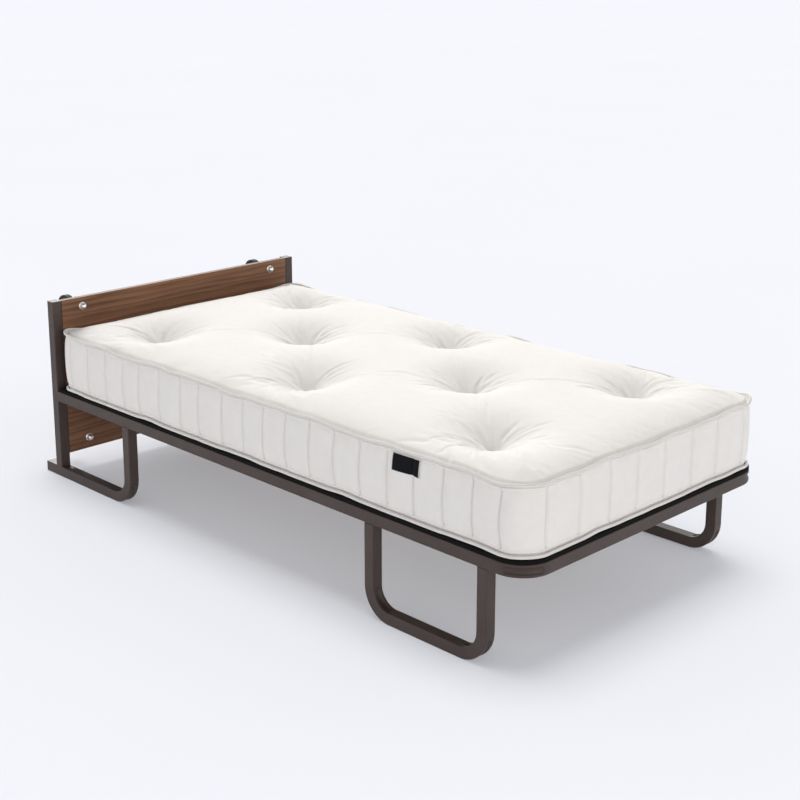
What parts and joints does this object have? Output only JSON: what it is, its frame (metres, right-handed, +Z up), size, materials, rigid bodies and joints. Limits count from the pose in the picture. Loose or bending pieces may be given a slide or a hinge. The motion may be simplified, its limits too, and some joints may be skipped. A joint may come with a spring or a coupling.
{
  "type": "rollaway bed",
  "caption": "Single rollaway bed: bent square-tube frame, slatted deck, tufted mattress, and a headboard panel with swivel castors on its back to roll it away on end.",
  "frame": {"origin": "on the floor, under the centre of the whole bed's box, castors included", "axes": "+X toward the foot of the bed, +Y to its left side, +Z up"},
  "size_m": [2.044, 0.972, 0.569],
  "materials": {
    "frame_coating": "satin",
    "black_plastic": "satin",
    "walnut_veneer": "satin",
    "bright_plating": "polished",
    "slat_ply": "satin",
    "zinc_plating": "satin",
    "castor_steel": "satin",
    "wheel_plastic": "matte",
    "wheel_rubber": "matte",
    "deck_felt": "matte",
    "mattress_ticking": "matte",
    "label_weave": "matte",
    "strap_webbing": "matte"
  },
  "bodies": {
    "bed": {"main_rail": "frame_coating", "head_post_left": "frame_coating", "head_post_right": "frame_coating", "head_leg_left": "frame_coating", "head_leg_right": "frame_coating", "foot_leg_left": "frame_coating", "foot_leg_right": "frame_coating", "head_cross_rail": "frame_coating", "cross_rail_1": "frame_coating", "cross_rail_2": "frame_coating", "cross_rail_3": "frame_coating", "cross_rail_4": "frame_coating", "back_bar_upper": "frame_coating", "back_bar_lower": "frame_coating", "tube_caps": "black_plastic", "headboard_panel": "walnut_veneer", "cap_nuts": "bright_plating", "slat_01": "slat_ply", "slat_02": "slat_ply", "slat_03": "slat_ply", "slat_04": "slat_ply", "slat_05": "slat_ply", "slat_06": "slat_ply", "slat_07": "slat_ply", "slat_08": "slat_ply", "slat_09": "slat_ply", "slat_10": "slat_ply", "slat_11": "slat_ply", "slat_12": "slat_ply", "slat_13": "slat_ply", "slat_14": "slat_ply", "slat_screws": "zinc_plating", "strap_bolts": "zinc_plating", "deck_cover": "deck_felt", "mattress": "mattress_ticking", "mattress_label": "label_weave", "strap_left": "strap_webbing", "strap_right": "strap_webbing", "buckle_body": "black_plastic", "buckle_tongue": "black_plastic", "castor_base_upper_left": "castor_steel", "castor_base_upper_right": "castor_steel", "castor_base_lower_left": "castor_steel", "castor_base_lower_right": "castor_steel"},
    "fork_upper_left": {"castor_fork_upper_left": "castor_steel", "castor_axle_upper_left": "zinc_plating"},
    "wheel_upper_left": {"castor_hub_upper_left": "wheel_plastic", "castor_tyre_upper_left": "wheel_rubber"},
    "fork_upper_right": {"castor_fork_upper_right": "castor_steel", "castor_axle_upper_right": "zinc_plating"},
    "wheel_upper_right": {"castor_hub_upper_right": "wheel_plastic", "castor_tyre_upper_right": "wheel_rubber"},
    "fork_lower_left": {"castor_fork_lower_left": "castor_steel", "castor_axle_lower_left": "zinc_plating"},
    "wheel_lower_left": {"castor_hub_lower_left": "wheel_plastic", "castor_tyre_lower_left": "wheel_rubber"},
    "fork_lower_right": {"castor_fork_lower_right": "castor_steel", "castor_axle_lower_right": "zinc_plating"},
    "wheel_lower_right": {"castor_hub_lower_right": "wheel_plastic", "castor_tyre_lower_right": "wheel_rubber"}
  },
  "joints": [
    {"name": "swivel_upper_left", "type": "hinge", "parent": "bed", "child": "fork_upper_left", "pos_m": [-0.9345, 0.381, 0.541], "axis": [1, 0, 0], "continuous": true},
    {"name": "roll_upper_left", "type": "hinge", "parent": "fork_upper_left", "child": "wheel_upper_left", "pos_m": [-0.9845, 0.381, 0.5235], "axis": [0, 1, 0], "continuous": true},
    {"name": "swivel_upper_right", "type": "hinge", "parent": "bed", "child": "fork_upper_right", "pos_m": [-0.9345, -0.381, 0.541], "axis": [1, 0, 0], "continuous": true},
    {"name": "roll_upper_right", "type": "hinge", "parent": "fork_upper_right", "child": "wheel_upper_right", "pos_m": [-0.9845, -0.381, 0.5235], "axis": [0, 1, 0], "continuous": true},
    {"name": "swivel_lower_left", "type": "hinge", "parent": "bed", "child": "fork_lower_left", "pos_m": [-0.9345, 0.381, 0.109], "axis": [1, 0, 0], "continuous": true},
    {"name": "roll_lower_left", "type": "hinge", "parent": "fork_lower_left", "child": "wheel_lower_left", "pos_m": [-0.9845, 0.381, 0.0915], "axis": [0, 1, 0], "continuous": true},
    {"name": "swivel_lower_right", "type": "hinge", "parent": "bed", "child": "fork_lower_right", "pos_m": [-0.9345, -0.381, 0.109], "axis": [1, 0, 0], "continuous": true},
    {"name": "roll_lower_right", "type": "hinge", "parent": "fork_lower_right", "child": "wheel_lower_right", "pos_m": [-0.9845, -0.381, 0.0915], "axis": [0, 1, 0], "continuous": true}
  ]
}
